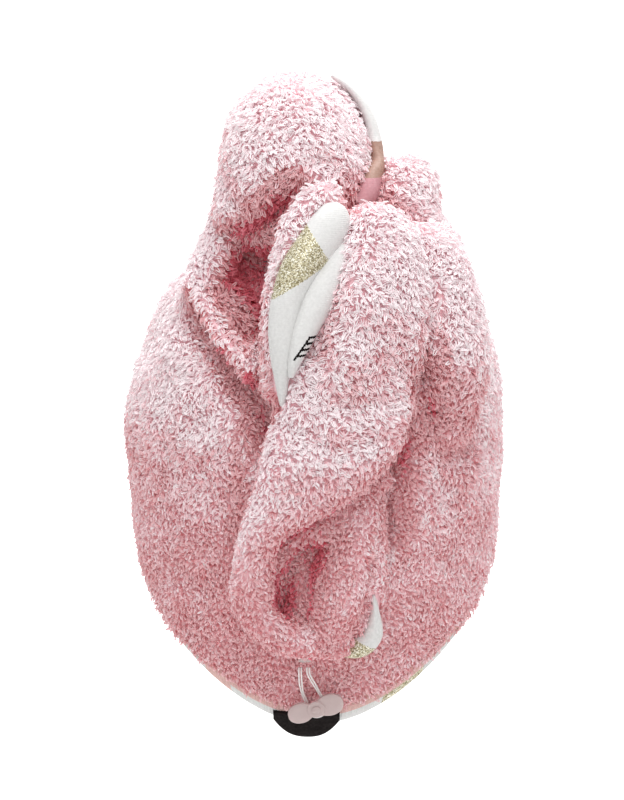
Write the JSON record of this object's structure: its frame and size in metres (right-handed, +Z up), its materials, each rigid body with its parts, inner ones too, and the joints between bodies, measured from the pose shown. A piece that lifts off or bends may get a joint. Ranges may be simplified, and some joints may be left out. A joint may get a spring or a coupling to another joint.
{
  "type": "twist-wrap hair towel",
  "caption": "Terry twist-wrap hair towel as worn: a hollow head cap and a long rolled tail whose elastic loop hooks a bow button at the nape.",
  "frame": {"origin": "on the head's axis 5 mm below the lowest edge of the head opening, which is at the nape", "axes": "+Z up along the head's axis, +Y the way the wearer faces, +X the wearer's right"},
  "size_m": [0.2124, 0.2833, 0.3565],
  "materials": {
    "terry": "long loop pile",
    "lining": "smooth jersey",
    "rim_facing": "ribbed jersey with printed colour blocks",
    "tail_facing": "smooth jersey with printed colour blocks",
    "seam_tape": "woven tape",
    "nape_tab": "matt jersey",
    "button": "glossy moulded plastic",
    "thread": "sewing thread",
    "elastic": "round elastic cord"
  },
  "bodies": {
    "cap": {"cap_terry_left": "terry", "cap_terry_right": "terry", "cap_lining_left": "lining", "cap_lining_right": "lining", "rim_facing_left": "rim_facing", "rim_facing_right": "rim_facing", "centre_seam_tape": "seam_tape", "nape_tab": "nape_tab", "crown_fold": "terry", "button_thread": "thread"},
    "button": {"button_bow": "button", "button_knot": "button", "button_shank": "button"},
    "roll": {"tail_roll_left": "terry", "tail_roll_right": "terry", "tail_roll_facing": "tail_facing"},
    "flap": {"tail_flap_left": "terry", "tail_flap_right": "terry", "tail_front_lip": "tail_facing", "tail_rear_lip": "tail_facing", "tail_tip_facing": "tail_facing", "loop_tack": "thread"},
    "loop": {"elastic_loop": "elastic"}
  },
  "joints": [
    {"name": "roll_lift", "type": "hinge", "parent": "cap", "child": "roll", "pos_m": [0, 0.117, 0.184], "axis": [-1, 0, 0], "range_deg": [0, 75]},
    {"name": "flap_lift", "type": "hinge", "parent": "roll", "child": "flap", "pos_m": [0, -0.072, 0.272], "axis": [-1, 0, 0], "range_deg": [0, 40]},
    {"name": "loop_unhook", "type": "hinge", "parent": "flap", "child": "loop", "pos_m": [-0.006, -0.1075, 0.0432], "axis": [-1, 0, 0], "range_deg": [0, 60], "deforming": ["elastic_loop"]},
    {"name": "button_turn", "type": "hinge", "parent": "cap", "child": "button", "pos_m": [0.0005, -0.1, 0.0184], "axis": [0, -1, 0], "range_deg": [-30, 30]}
  ]
}
